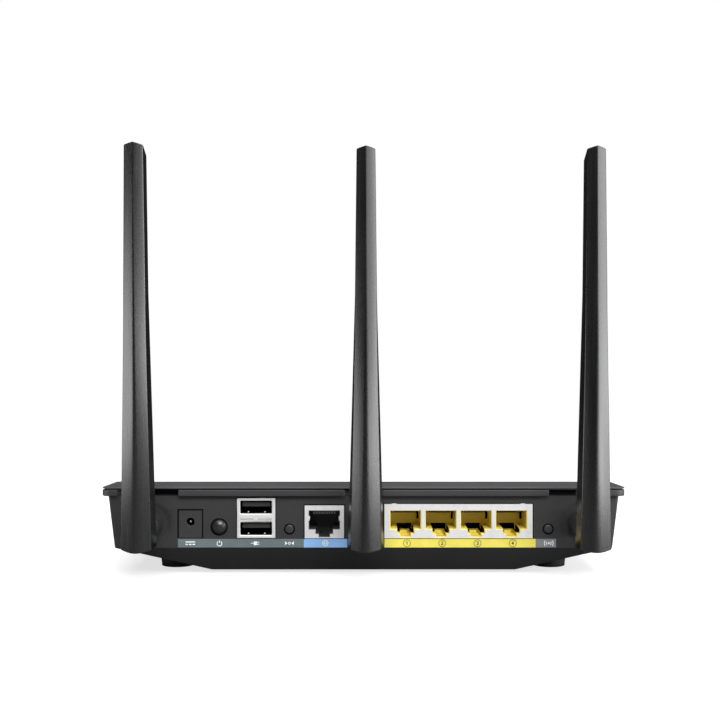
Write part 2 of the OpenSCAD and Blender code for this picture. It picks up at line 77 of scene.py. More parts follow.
CAMERA_BACK = 450.0
CAMERA_HEIGHT = 85.65
CAMERA_X = -1.4
LENS = 56.9


def add_camera():
    """A level camera behind the router, looking along +Y at its rear panel."""
    data = bpy.data.cameras.new("camera")
    data.lens = LENS
    data.sensor_width = 36.0
    data.clip_start = 0.01
    camera = bpy.data.objects.new("camera", data)
    camera.location = (CAMERA_X * MM, (PANEL_Y - CAMERA_BACK) * MM, CAMERA_HEIGHT * MM)
    camera.rotation_euler = (math.radians(90), 0, 0)
    bpy.context.scene.collection.objects.link(camera)
    bpy.context.scene.camera = camera


add_camera()


# ---------------------------------------------------------------- shader maths

class Value:
    """A socket whose sums, products and powers become Math nodes."""

    def __init__(self, paint, socket):
        self.paint, self.socket = paint, socket

    def _math(self, operation, *terms):
        return self.paint.node("ShaderNodeMath", {"operation": operation}, dict(enumerate(terms)))

    def __add__(self, other):
        return self._math("ADD", self, other)

    def __radd__(self, other):
        return self._math("ADD", other, self)

    def __sub__(self, other):
        return self._math("SUBTRACT", self, other)

    def __rsub__(self, other):
        return self._math("SUBTRACT", other, self)

    def __mul__(self, other):
        return self._math("MULTIPLY", self, other)

    def __rmul__(self, other):
        return self._math("MULTIPLY", other, self)

    def above(self, edge, soft):
        """0 below edge - soft, 1 above edge + soft, with a smooth step between."""
        return self.paint.node("ShaderNodeMapRange", {"interpolation_type": "SMOOTHSTEP", "clamp": True},
                               {"Value": self, "From Min": edge - soft, "From Max": edge + soft})

    def sine(self):
        return self._math("SINE", self)


class Paint:
    """One material: makes nodes and joins them to the surface shader."""

    def __init__(self, name):
        self.material = bpy.data.materials.new(name)
        self.material.use_nodes = True
        self.tree = self.material.node_tree
        self.surface = self.tree.nodes["Principled BSDF"]
        self.places = None

    def node(self, kind, settings=None, inputs=None, output=0):
        """Adds a node, sets its settings, then its sockets to values or links."""
        made = self.tree.nodes.new(kind)
        for key, value in (settings or {}).items():
            setattr(made, key, value)
        for key, value in (inputs or {}).items():
            self.feed(made.inputs[key], value)
        return Value(self, made.outputs[output])

    def feed(self, socket, value):
        if isinstance(value, Value):
            self.tree.links.new(value.socket, socket)
        else:
            socket.default_value = value

    def point(self, scale=(1, 1, 1), turn=(0, 0, 0)):
        """Object coordinates in millimetres, turned and then stretched."""
        if self.places is None:
            self.places = self.node("ShaderNodeTexCoord", output=3)
        size = tuple(s / MM for s in scale)
        return self.node("ShaderNodeMapping", {}, {"Vector": self.places, "Rotation": turn, "Scale": size})

    def noise(self, size, detail=2.0, stretch=(1, 1, 1), turn=(0, 0, 0)):
        """Soft noise whose features are about size millimetres across."""
        where = self.point(tuple(s / size for s in stretch), turn)
        return self.node("ShaderNodeTexNoise", {}, {"Vector": where, "Scale": 1.0, "Detail": detail})

    def along(self, axis, turn=(0, 0, 0)):
        """One coordinate in millimetres."""
        return self.node("ShaderNodeSeparateXYZ", {}, {"Vector": self.point(turn=turn)}, output=axis)

    def mix(self, share, first, second):
        """Colour that goes from first to second as share goes from 0 to 1."""
        made = self.tree.nodes.new("ShaderNodeMix")
        made.data_type = "RGBA"
        self.feed(made.inputs[0], share)
        self.feed(made.inputs[6], first)
        self.feed(made.inputs[7], second)
        return Value(self, made.outputs[2])

    def bump(self, height, depth, strength=1.0):
        """Raises the surface by depth millimetres where height is 1."""
        return self.node("ShaderNodeBump", {},
                         {"Height": height, "Distance": depth * MM, "Strength": strength})

    def finish(self, **sockets):
        for key, value in sockets.items():
            self.feed(self.surface.inputs[key.replace("_", " ")], value)
        return self.material


def rgb(red, green, blue):
    return (red, green, blue, 1.0)


def shade(colour, factor):
    """A colour made lighter or darker by a factor."""
    return rgb(*(min(1.0, c * factor) for c in colour[:3]))


def moulded(name, colour, rough, grain=0.35, depth=0.02, specular=0.5, coat=0.0, streak=0.0):
    """Moulded plastic: eroded grain, faint flow marks, and dust that dulls it a little in patches."""
    paint = Paint(name)
    grain_height = paint.noise(grain, 3.0)
    cloud = paint.noise(38.0, 3.0)
    fleck = paint.noise(2.2, 2.0)
    tone = paint.mix(cloud.above(0.5, 0.22), shade(colour, 0.9), shade(colour, 1.12))
    tone = paint.mix(fleck.above(0.66, 0.06) * 0.25, tone, shade(colour, 1.5))
    roughness = rough - 0.04 + cloud * 0.08 + (grain_height - 0.5) * 0.06
    if streak:
        rub = paint.noise(1.4, 2.0, stretch=(1, 1, 0.03))
        roughness = roughness + rub.above(0.6, 0.08) * streak
    return paint.finish(Base_Color=tone, Roughness=roughness, Normal=paint.bump(grain_height, depth),
                        Specular_IOR_Level=specular, Coat_Weight=coat, Coat_Roughness=0.12)


def plated(name, colour, rough, brush=(1, 1, 0.08), dull=0.12, metallic=1.0):
    """Plated or brushed sheet metal: fine brush lines, faint stains and soft smudges."""
    paint = Paint(name)
    lines = paint.noise(0.5, 3.0, stretch=brush)
    stain = paint.noise(6.0, 3.0)
    tone = paint.mix(stain.above(0.56, 0.12) * 0.6, colour, shade(colour, 0.82))
    roughness = rough + (lines - 0.5) * 0.16 + stain.above(0.58, 0.1) * dull
    return paint.finish(Base_Color=tone, Metallic=metallic, Roughness=roughness,
                        Normal=paint.bump(lines, 0.006))


def woven_cover():
    """The cover's plastic: crossed diagonal hatching pressed into a satin surface."""
    paint = Paint("cover_satin")
    pitch = 2 * math.pi / 1.6
    first = (paint.along(0, turn=(0, 0, math.radians(35))) * pitch).sine()
    second = (paint.along(0, turn=(0, 0, math.radians(-35))) * pitch).sine()
    patch = (first * second).above(0.0, 0.25)
    grain = paint.noise(0.3, 3.0)
    cloud = paint.noise(45.0, 3.0)
    base = rgb(0.062, 0.062, 0.0645)
    tone = paint.mix(cloud.above(0.5, 0.22), shade(base, 0.9), shade(base, 1.12))
    tone = paint.mix(patch * 0.35, tone, shade(base, 0.72))
    roughness = 0.42 + cloud * 0.06 + patch * 0.08
    height = first * 0.22 + second * 0.22 + grain * 0.3
    return paint.finish(Base_Color=tone, Roughness=roughness, Normal=paint.bump(height, 0.05))


def circuit_green():
    """Solder mask over copper: straight tracks show as slightly lighter, raised lines."""
    paint = Paint("solder_mask")
    across = (paint.along(0) * (2 * math.pi / 3.2)).sine()
    along = (paint.along(1) * (2 * math.pi / 4.1)).sine()
    where = paint.noise(14.0, 1.0).above(0.5, 0.03)
    track = across.above(0.82, 0.05) * where + along.above(0.85, 0.05) * (1 - where)
    base = rgb(0.012, 0.11, 0.05)
    tone = paint.mix(track * 0.7, base, shade(base, 1.9))
    return paint.finish(Base_Color=tone, Roughness=0.28 + paint.noise(3.0) * 0.1,
                        Normal=paint.bump(track, 0.03))


def printed(name, colour, rough=0.42):
    """Ink printed on a thin film: faint print dots and slightly uneven cover."""
    paint = Paint(name)
    dots = paint.noise(0.22, 2.0)
    cloud = paint.noise(5.0, 2.0)
    tone = paint.mix(cloud.above(0.5, 0.2), shade(colour, 0.95), shade(colour, 1.05))
    tone = paint.mix(dots.above(0.62, 0.08) * 0.2, tone, shade(colour, 0.85))
    return paint.finish(Base_Color=tone, Roughness=rough + cloud * 0.08, Normal=paint.bump(dots, 0.006))


def clear_plastic():
    """Milky light guide: slightly cloudy, glossy, and a little see-through."""
    paint = Paint("light_guide")
    cloud = paint.noise(2.5, 2.0)
    tone = paint.mix(cloud, rgb(0.8, 0.84, 0.88), rgb(0.9, 0.92, 0.94))
    return paint.finish(Base_Color=tone, Roughness=0.12 + cloud * 0.1, Transmission_Weight=0.5,
                        Normal=paint.bump(cloud, 0.01))


FINISHES = {
    "case_plastic": moulded("case_grain", rgb(0.034, 0.034, 0.0355), 0.55, grain=0.4, depth=0.03,
                            specular=0.3),
    "rim_plastic": moulded("rim_satin", rgb(0.037, 0.037, 0.0385), 0.42, grain=0.3, specular=0.4),
    "cover_plastic": woven_cover(),
    "foot_rubber": moulded("foot_rubber", rgb(0.018, 0.018, 0.018), 0.8, grain=0.5, depth=0.05),
    "screw_steel": plated("screw_zinc", rgb(0.6, 0.6, 0.62), 0.34),
    "board": circuit_green(),
    "heatsink_metal": plated("extruded_fins", rgb(0.72, 0.73, 0.75), 0.4, brush=(1, 0.05, 1)),
    "shield_metal": plated("tinned_shield", rgb(0.68, 0.68, 0.66), 0.42),
    "capacitor": plated("can_sleeve", rgb(0.5, 0.52, 0.56), 0.4),
    "shell_metal": plated("bright_shell", rgb(0.93, 0.93, 0.92), 0.46, metallic=0.55),
    "wan_metal": plated("bright_shell_soft", rgb(0.88, 0.88, 0.88), 0.46, metallic=0.4),
    "yellow_plastic": moulded("yellow_insert", rgb(0.80, 0.64, 0.10), 0.42, grain=0.3, depth=0.012),
    "black_plastic": moulded("black_insert", rgb(0.05, 0.05, 0.052), 0.45, grain=0.3, depth=0.015),
    "tongue_plastic": moulded("tongue_black", rgb(0.03, 0.03, 0.031), 0.4, grain=0.3, depth=0.012),
    "contact_gold": plated("gold_contacts", rgb(0.86, 0.62, 0.28), 0.25),
    "jack_plastic": moulded("jack_black", rgb(0.034, 0.034, 0.036), 0.46),
    # Painted shade: the pin deep in the jack's bore is given a dark grey.
    "pin_metal": plated("painted_shade_pin", rgb(0.3, 0.3, 0.3), 0.3),
    "button_plastic": moulded("polished_button", rgb(0.02, 0.02, 0.021), 0.3, grain=0.3, depth=0.004,
                              coat=0.25),
    "small_button_plastic": moulded("satin_button", rgb(0.034, 0.034, 0.036), 0.4, grain=0.3,
                                    depth=0.012),
    "switch_plastic": moulded("switch_black", rgb(0.03, 0.03, 0.032), 0.5),
    "label_grey": printed("ink_grey", rgb(0.13, 0.165, 0.175)),
    "label_blue": printed("ink_blue", rgb(0.25, 0.47, 0.83)),
    "label_yellow": printed("ink_yellow", rgb(0.80, 0.70, 0.105)),
    "label_pale": printed("ink_pale", rgb(0.2, 0.205, 0.215)),
    "clear_plastic": clear_plastic(),
    "led_white": printed("lamp_white", rgb(0.9, 0.9, 0.8), 0.3),
    "socket_brass": plated("dark_thread", rgb(0.13, 0.12, 0.11), 0.3),
    "lead_jacket": moulded("lead_jacket", rgb(0.03, 0.03, 0.03), 0.5, grain=0.2),
    "collar_plastic": moulded("collar_satin", rgb(0.02, 0.02, 0.021), 0.4, grain=0.3, depth=0.015),
    "pin_steel": plated("ground_pin", rgb(0.65, 0.65, 0.67), 0.25),
    "blade_plastic": moulded("blade_gloss", rgb(0.0032, 0.0032, 0.0035), 0.27, grain=0.28, depth=0.003,
                             specular=0.9, streak=0.03),
    "radiator_metal": plated("copper_strip", rgb(0.8, 0.42, 0.24), 0.3),
}
PRINT_WHITE = printed("ink_white", rgb(0.85, 0.87, 0.88))
PRINT_DARK = printed("ink_dark", rgb(0.055, 0.05, 0.03))
# Painted shade: a dark copy of the gold contact finish, for the contacts deep inside their sockets.
PAINTED_SHADE_CONTACTS = plated("painted_shade_contacts", rgb(0.09, 0.075, 0.05), 0.35)
# Painted light: a lighter grey copy of the black comb plastic, so that the comb teeth look lit.
PAINTED_LIGHT_COMB = moulded("painted_light_comb", rgb(0.14, 0.14, 0.145), 0.45)
PAINTED_SHADE_NODES = ("lan_contacts", "wan_contacts", "usb_contacts")
# Painted shade: a near-black finish for sheets put where there is only shade, in gaps, recesses and slots.
PAINTED_SHADE_BLACK = moulded("painted_shade_black", rgb(0.0015, 0.0015, 0.0018), 0.7, grain=0.3, depth=0.01,
                     specular=0.06)

SLOT_OF = {part["node"]: part["material_slot"] for part in frame["record"]["subparts"]}


def paint_nodes():
    """Every CAD node takes the finish of its slot in the record, except the contacts, which take a dark copy of
    the gold: painted shade deep in their sockets.
    """
    for node, slot in SLOT_OF.items():
        body = frame["nodes"][node]
        body.data.materials.clear()
        finish = PAINTED_SHADE_CONTACTS if node in PAINTED_SHADE_NODES else FINISHES[slot]
        body.data.materials.append(finish)


paint_nodes()


# ---------------------------------------------------------------- making pieces

def body_of(node):
    for body, members in frame["record"]["behaviour"]["bodies"].items():
        if node in members:
            return body
    raise KeyError(node)


def settle(piece, body, slot, material=None, replaces=()):
    """Gives a finished piece its material, which is the finish of its slot unless another is given, joins it to
    its body and hides the CAD nodes that it stands for.
    """
    piece.data.materials.clear()
    piece.data.materials.append(material or FINISHES[slot])
    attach(piece, body)
    for node in replaces:
        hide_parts(node)
    return piece


def mesh_piece(name, points, faces, sharp=35):
    """A mesh from points in millimetres, shaded smooth except over edges sharper than the angle given."""
    data = bpy.data.meshes.new(name)
    data.from_pydata((np.asarray(points, float) * MM).tolist(), [], faces)
    data.polygons.foreach_set("use_smooth", np.ones(len(data.polygons), bool))
    data.set_sharp_from_angle(angle=math.radians(sharp))
    data.update()
    piece = bpy.data.objects.new(name, data)
    bpy.context.scene.collection.objects.link(piece)
    return piece


def ring_faces(rows, columns, start=0, loop=False):
    """Quads between rows of points that close round. The rows either end in a flat cap at each end,
    or, in a loop, the last row joins the first."""
    row, column = np.meshgrid(np.arange(rows if loop else rows - 1), np.arange(columns), indexing="ij")
    beside, above = (column + 1) % columns, (row + 1) % rows
    quads = np.stack([row * columns + column, row * columns + beside,
                      above * columns + beside, above * columns + column], axis=-1)
    caps = [] if loop else [np.arange(columns)[::-1], (rows - 1) * columns + np.arange(columns)]
    return (quads.reshape(-1, 4) + start).tolist() + [(cap + start).tolist() for cap in caps]


def joined(shells):
    """Points and faces of several closed ring shells, put in one mesh. A shell is its rings, or
    its rings and True where they make a loop."""
    points, faces, start = [], [], 0
    for shell in shells:
        rings, loop = shell if isinstance(shell, tuple) else (shell, False)
        rows, columns = rings.shape[:2]
        points.append(rings.reshape(-1, 3))
        faces += ring_faces(rows, columns, start, loop)
        start += rows * columns
    return np.concatenate(points), faces


def slab(x, y, z):
    """Rings of a box between the two limits given for each axis."""
    around = ((0, 0), (1, 0), (1, 1), (0, 1))
    return np.array([[(x[i], y[j], level) for i, j in around] for level in z], float)


def turned(profile, segments=64, ribs=0, rib_depth=0.0, rib_span=(0, 0)):
    """Rings of a turned shape about Y: profile rows are (y, radius). Ribs raise the radius by a
    cosine round the axis, fading in and out along rib_span."""
    profile = np.asarray(profile, float)
    angle = np.linspace(0, 2 * math.pi, segments, endpoint=False)
    y, radius = profile[:, :1], profile[:, 1:]
    if ribs:
        low, high = rib_span
        window = np.clip((y - low) / 0.6, 0, 1) * np.clip((high - y) / 0.6, 0, 1)
        radius = radius + rib_depth * window * (0.5 + 0.5 * np.cos(ribs * angle))
    ones = np.ones_like(angle)
    return np.stack([radius * np.sin(angle), y * ones, radius * np.cos(angle)], axis=-1)


def rounded(outline, radii, steps=5):
    """The closed outline with each corner eased by a quadratic curve that starts and ends its
    radius away from the corner."""
    outline = np.asarray(outline, float)
    before = np.roll(outline, 1, axis=0) - outline
    after = np.roll(outline, -1, axis=0) - outline
    radii = np.asarray(radii, float)[:, None]
    start = outline + before / np.linalg.norm(before, axis=1, keepdims=True) * radii
    end = outline + after / np.linalg.norm(after, axis=1, keepdims=True) * radii
    share = np.linspace(0, 1, steps + 1)[None, :, None]
    rest = 1 - share
    curve = rest ** 2 * start[:, None] + 2 * share * rest * outline[:, None] + share ** 2 * end[:, None]
    return curve.reshape(-1, 2)


MERGE_DISTANCE = 0.002
FLAT_WITHIN = math.radians(0.5)
BEVEL_OVER = math.radians(28)


def softened(node, width):
    """A copy of a CAD node with its edges rounded over. Its triangles are first merged into flat
    faces, and the large faces then keep their own flat normals."""
    source = frame["nodes"][node]
    work = bmesh.new()
    work.from_mesh(source.data)
    bmesh.ops.remove_doubles(work, verts=work.verts, dist=MERGE_DISTANCE * MM)
    bmesh.ops.dissolve_limit(work, angle_limit=FLAT_WITHIN, verts=work.verts, edges=work.edges)
    data = bpy.data.meshes.new(node + "_soft")
    work.to_mesh(data)
    work.free()
    data.polygons.foreach_set("use_smooth", np.ones(len(data.polygons), bool))
    piece = bpy.data.objects.new(node + "_soft", data)
    bpy.context.scene.collection.objects.link(piece)
    bevel = piece.modifiers.new("edges", "BEVEL")
    bevel.width = width * MM
    bevel.segments = 2
    bevel.limit_method = "ANGLE"
    bevel.angle_limit = BEVEL_OVER
    bevel.miter_outer = "MITER_ARC"
    flat = piece.modifiers.new("flat", "WEIGHTED_NORMAL")
    flat.weight = 100
    return settle(piece, body_of(node), SLOT_OF[node], replaces=[node])


def moved(points, place):
    return points + np.asarray(place, float)


# ---------------------------------------------------------------- shell, sockets and collars

EDGE_WIDTHS = {
    "lower_case": 0.22, "rim_frame": 0.3, "top_cover": 0.18, "usb_shell": 0.3, "usb_tongues": 0.15,
    "dc_jack": 0.2, "collar_left": 0.2, "collar_middle": 0.2, "collar_right": 0.2, "heatsink": 0.1,
    "case_screws": 0.1, "foot_pad_rear_left": 0.3, "foot_pad_rear_right": 0.3,
    "foot_pad_front_left": 0.3, "foot_pad_front_right": 0.3,
}
for node_name, edge_width in EDGE_WIDTHS.items():
    softened(node_name, edge_width)


# ---------------------------------------------------------------- buttons

FLANGE = 0.9
STEM_LENGTH, STEM_RADIUS = 3.8, 1.0
CROWN_SPAN = 0.92


def button_piece(node, crown, dish):
    """A turned button cap: straight sides, a rounded shoulder, a crowned face, which is part of a
    circle's arc scaled to the crown's height, and a dish that fades with the square of
    1 - radius squared."""
    low, high = corners(node)
    centre = (low + high) / 2
    outer = (high[0] - low[0]) / 2
    radius = outer - FLANGE
    face = low[1]
    turn = np.linspace(0, 1, 14)
    drop = 1 - np.sqrt(1 - (CROWN_SPAN * turn) ** 2)
    depth = face + crown * drop / drop[-1] + dish * (1 - turn ** 2) ** 2
    cap = np.stack([depth, radius * (0.02 + 0.93 * turn)], axis=-1)
    back = high[1] - STEM_LENGTH
    rest = [(face + crown + 0.25, radius), (back - FLANGE, radius), (back - FLANGE, outer), (back, outer),
            (back, STEM_RADIUS), (high[1], STEM_RADIUS)]
    rings = turned(np.concatenate([cap, rest]), 56)
    points, faces = joined([rings])
    piece = mesh_piece(node + "_cap", moved(points, (centre[0], 0, centre[2])), faces)
    return settle(piece, body_of(node), SLOT_OF[node], replaces=[node])


button_piece("power_button", 1.3, 0.0)
button_piece("reset_button", 0.3, 0.12)
button_piece("pairing_button", 0.3, 0.12)


# ---------------------------------------------------------------- blades

BLADE_BACK, BLADE_CORNER, BLADE_RIDGE = 2.8, -2.6, -5.4
BLADE_HALF, WAIST_HALF, TIP_HALF = 6.8, 4.1, 3.55
WAIST_SHARE = 98 / 150.1
EDGE_STRIP = 1.1
FACET_SLOPE = (BLADE_CORNER - BLADE_RIDGE) / (BLADE_HALF - EDGE_STRIP)
BLADE_BELOW = 6.6
BLADE_TIP = corners("blade_middle")[1][2] - JOINTS["antenna_tilt_middle"]["pos_m"][2] / MM
BOTTOM_SAG = 1.2
FOOT_ARC = (BLADE_HALF ** 2 + BOTTOM_SAG ** 2) / (2 * BOTTOM_SAG)
TIP_SLOPE = math.tan(math.radians(28))
FACET_BULGE = 0.1
FORK = ((-2.5, 2.5), (-2.95, 5.0), (-12.0, 2.95))


def blade_section(share, inset):
    """Outline of a blade at a share of its length, every point moved inward by inset: flat back,
    drafted sides, and two slightly crowned front faces. The half width falls in a straight line to
    the waist and then more slowly to the tip, and the side strips narrow with a power of the length
    left until the waist, where they run out. The faces
    meet in a ridge that is soft at the foot and crisp toward the tip: its radius falls with the
    square of the length still to go."""
    half = np.interp(share, (0, WAIST_SHARE, 1), (BLADE_HALF, WAIST_HALF, TIP_HALF))
    corner = half - EDGE_STRIP * max(1 - share / WAIST_SHARE, 0.01) ** 0.6
    corner_y = BLADE_RIDGE + FACET_SLOPE * corner + inset
    ridge_y = BLADE_RIDGE + inset
    flank = ((corner - inset) / 2, (corner_y + ridge_y) / 2 - FACET_BULGE)
    right = [(half - inset, BLADE_BACK - inset), (corner - inset, corner_y), flank]
    left = [(-x, y) for x, y in right[::-1]]
    ridge_radius = 0.2 + 2.0 * (1 - share) ** 2
    flank_radius = corner * 0.25 * share + 0.3
    radii = [0.5, 0.35, flank_radius, ridge_radius, flank_radius, 0.35, 0.5]
    return rounded(right + [(0.0, ridge_y)] + left, radii)


def blade_rings():
    """Rings from the foot to the tip. The foot's ends follow a shallow arc across the width, and
    the tip's a plane that drops toward the back; the first and last rings draw in to round the rims."""
    ease = [(0.0, 0.5), (0.05, 0.28), (0.18, 0.1), (0.4, 0.0)]
    rows = [(0.0, rise, inset) for rise, inset in ease]
    rows += [(share, 0.0, 0.0) for share in np.sort(np.append(np.linspace(0, 1, 26)[1:-1], WAIST_SHARE))]
    rows += [(1.0, -rise, inset) for rise, inset in ease[::-1]]
    rings = []
    for share, rise, inset in rows:
        outline = blade_section(share, inset)
        across, deep = outline[:, 0], outline[:, 1]
        foot = -BLADE_BELOW + FOOT_ARC - np.sqrt(FOOT_ARC ** 2 - across ** 2)
        tip = BLADE_TIP - (deep - BLADE_RIDGE) * TIP_SLOPE
        rings.append(np.stack([across, deep, foot + share * (tip - foot) + rise], axis=-1))
    return np.stack(rings)


def cut(piece, cutter):
    """Takes the cutter's volume out of the piece and removes the cutter."""
    tool = piece.modifiers.new("cut", "BOOLEAN")
    tool.object = cutter
    tool.operation = "DIFFERENCE"
    tool.solver = "EXACT"
    bpy.context.view_layer.update()
    result = bpy.data.meshes.new_from_object(piece.evaluated_get(bpy.context.evaluated_depsgraph_get()))
    piece.modifiers.clear()
    old = piece.data
    piece.data = result
    bpy.data.meshes.remove(old)
    bpy.data.objects.remove(cutter)


def block(name, x, y, z):
    """A box as a mesh of its own."""
    points, faces = joined([slab(x, y, z)])
    return mesh_piece(name, points, faces)


def blade_piece(side):
    """A blade with its fork, leant and turned by its rest angles and set on its hinge."""
    points, faces = joined([blade_rings()])
    piece = mesh_piece("blade_%s_skin" % side, points, faces)
    cut(piece, block("fork", *FORK))
    joint = JOINTS["antenna_tilt_" + side]
    lean = math.radians(-joint["range_deg"][0])
    spin = np.array([[1, 0, 0], [0, math.cos(lean), -math.sin(lean)], [0, math.sin(lean), math.cos(lean)]])
    axis = joint["axis"]
    turn = np.array([[axis[0], 0, -axis[2]], [0, 1, 0], [axis[2], 0, axis[0]]])
    data = piece.data
    flat = np.empty(len(data.vertices) * 3)
    data.vertices.foreach_get("co", flat)
    place = flat.reshape(-1, 3) @ spin.T @ turn.T + np.array(joint["pos_m"])
    data.vertices.foreach_set("co", place.ravel())
    data.polygons.foreach_set("use_smooth", np.ones(len(data.polygons), bool))
    data.set_sharp_from_angle(angle=math.radians(24))
    data.update()
    return settle(piece, body_of("blade_" + side), "blade_plastic", replaces=["blade_" + side])


for side_name in SIDES:
    blade_piece(side_name)


def grip_band(side):
    """The ribbed band round a collar, for turning it by hand."""
    axis = np.array(JOINTS["antenna_swivel_" + side]["pos_m"]) / MM
    profile = [(-11.6, 4.9), (-11.5, 5.12), (-11.0, 5.2), (-10.4, 5.22), (-6.0, 5.22), (-5.4, 5.22),
               (-4.9, 5.2), (-4.4, 5.12), (-4.3, 4.9)]
    rings = turned(profile, 168, ribs=28, rib_depth=0.16, rib_span=(-11.2, -4.7))
    points, faces = joined([rings])
    piece = mesh_piece("grip_band_" + side, moved(points, (axis[0], PANEL_Y, axis[2])), faces)
    return settle(piece, "swivel_" + side, "collar_plastic")


for side_name in SIDES:
    grip_band(side_name)


# ---------------------------------------------------------------- insides of the sockets

LAN_LOW, LAN_HIGH = corners("lan_shell")
LAN_MARGIN = 8.35
LAN_PITCH = (LAN_HIGH[0] - LAN_LOW[0] - 2 * LAN_MARGIN) / 3
LAN_PORTS = [LAN_LOW[0] + LAN_MARGIN + i * LAN_PITCH for i in range(4)]
WAN_PORT = middle("wan_shell")[0]
USB_PORT = middle("usb_shell")[0]
USB_FLOORS = (1.2, 9.7)


def fittings(name, slot, x, shells, material=None, soft=0.03):
    """Small fixed parts in one mesh. Each shell is given from the middle of a socket, from the
    outer face of the rear panel and from the top of the board. Their edges are eased."""
    points, faces = joined(shells)
    piece = mesh_piece(name, moved(points, (x, PANEL_Y, BOARD_TOP)), faces)
    bevel = piece.modifiers.new("edges", "BEVEL")
    bevel.width = soft * MM
    bevel.segments = 1
    return settle(piece, "case", slot, material)


COMB_LOW, COMB_HIGH = 10.0, 10.73
COMB_SLOTS = np.arange(11) * 0.97 - 5.45


def network_interior(index, x):
    """What shows behind a network socket's mouth: near-black sheets of painted shade in the opening for the plug's
    latch at the back, on the sides of its channel, in a key slot and in the comb's slots; and the yellow stop for
    the latch."""
    fittings("network_painted_shade_%d" % index, "black_plastic", x, [
        slab((-3.2, 2.75), (12.48, 12.7), (1.99, 4.25)),
        slab((3.16, 3.27), (0.9, 12.4), (1.99, 3.66)),
        slab((2.02, 3.14), (2.6, 12.4), (1.9, 2.0)),
        slab((-3.2, -2.02), (4.6, 12.4), (1.9, 2.0)),
        slab((4.95, 5.75), (12.48, 12.7), (6.0, 10.7)),
        *[slab((slot_x - 0.27, slot_x + 0.27), (0.7, 1.15), (COMB_LOW, COMB_HIGH)) for slot_x in COMB_SLOTS],
    ], PAINTED_SHADE_BLACK)
    fittings("latch_stop_%d" % index, "yellow_plastic", x, [
        slab((-1.96, 0.9), (8.0, 12.5), (0.68, 2.1)),
        slab((-1.96, 1.6), (4.5, 8.0), (0.68, 1.05)),
    ], soft=0.12)


for port_index, port_x in enumerate(LAN_PORTS):
    network_interior(port_index + 1, port_x)


GAP_SHADE_DEPTH = (-0.04, 1.7)


def socket_gap_shade(node, wide=0.42):
    """Near-black strips in the gap between a socket and the panel, over its top and down both sides: painted shade
    in that gap.
    """
    low, high = corners(node)
    x0, x1, top = low[0], high[0], high[2] - BOARD_TOP
    fittings("gasket_" + node, "black_plastic", 0.0, [
        slab((x0 - wide, x1 + wide), GAP_SHADE_DEPTH, (top + 0.02, top + wide)),
        slab((x0 - wide, x0 - 0.02), GAP_SHADE_DEPTH, (0.0, top)),
        slab((x1 + 0.02, x1 + wide), GAP_SHADE_DEPTH, (0.0, top)),
    ], PAINTED_SHADE_BLACK, soft=0.015)


for socket_node in ("lan_shell", "wan_shell", "dc_jack"):
    socket_gap_shade(socket_node)
socket_gap_shade("usb_shell", 0.3)


def button_gap_shade(node, radius):
    """A near-black ring round a button, with a rectangular section: painted shade in the gap round the button."""
    centre = middle(node)
    inner, outer = radius + 0.1, radius + 0.5
    rings = turned([(-0.04, outer), (1.8, outer), (1.8, inner), (-0.04, inner)], 48)
    points, faces = joined([(rings, True)])
    piece = mesh_piece(node + "_gap_shade", moved(points, (centre[0], PANEL_Y, centre[2])), faces)
    return settle(piece, "case", "black_plastic", PAINTED_SHADE_BLACK)


button_gap_shade("power_button", 2.95)
button_gap_shade("reset_button", 1.7)
button_gap_shade("pairing_button", 1.7)


def wan_fittings():
    """The internet socket's side springs, and the comb that guides its contacts, whose teeth take a lighter grey
    than their black plastic: painted light.
    """
    fittings("wan_springs", "wan_metal", WAN_PORT, [
        slab((-6.24, -5.7), (-0.22, 0.9), (6.9, 8.7)), slab((5.7, 6.24), (-0.22, 0.9), (6.9, 8.7)),
    ], soft=0.15)
    teeth = [slab((i * 1.02 - 0.21, i * 1.02 + 0.21), (0.5, 1.1), (9.5, 10.72)) for i in range(-4, 5)]
    fittings("wan_comb", "black_plastic", WAN_PORT, teeth, PAINTED_LIGHT_COMB, soft=0.06)


def lan_fittings():
    """The ground spring above the network sockets and the springs at the ends of the shell."""
    span = LAN_HIGH[0] - LAN_LOW[0]
    top = LAN_HIGH[2] - BOARD_TOP
    fittings("lan_springs", "shell_metal", LAN_LOW[0], [
        slab((2.9, 4.7), (-0.2, 1.6), (top - 0.02, top + 0.26)),
        slab((span - 4.7, span - 2.9), (-0.2, 1.6), (top - 0.02, top + 0.26)),
    ], soft=0.1)


def usb_fittings():
    """Near-black sheets of painted shade inside both USB openings, the seam of the shell between them, and the
    tips of the springs."""
    shade_sheets, tips = [], []
    for low in USB_FLOORS:
        high = low + 5.1
        shade_sheets += [slab((-6.24, 6.24), (0.9, 12.5), (low + 0.02, low + 0.1)),
                  slab((-6.24, 6.24), (0.9, 12.5), (high - 0.1, high - 0.02)),
                  slab((-6.24, -6.14), (0.9, 12.5), (low + 0.12, high - 0.12)),
                  slab((6.14, 6.24), (0.9, 12.5), (low + 0.12, high - 0.12))]
        tips += [slab((x - 0.24, x + 0.24), (0.5, 1.6), (low + 0.45, low + 0.8)) for x in (-3.1, 3.4)]
    fittings("usb_shade_sheets", "black_plastic", USB_PORT, shade_sheets, PAINTED_SHADE_BLACK, soft=0.02)
    fittings("usb_springs", "shell_metal", USB_PORT, tips, soft=0.08)
    fittings("usb_seam", "black_plastic", USB_PORT, [
        slab((-6.3, -0.9), (-0.325, -0.25), (7.52, 7.68)), slab((0.7, 6.3), (-0.325, -0.25), (7.52, 7.68)),
    ], FINISHES["switch_plastic"], soft=0.02)


COVER_SHADE_SPAN = (-82.0, 72.5)
COVER_SHADE_GAPS = ((-84.0, -72.4), (73.4, 84.0))


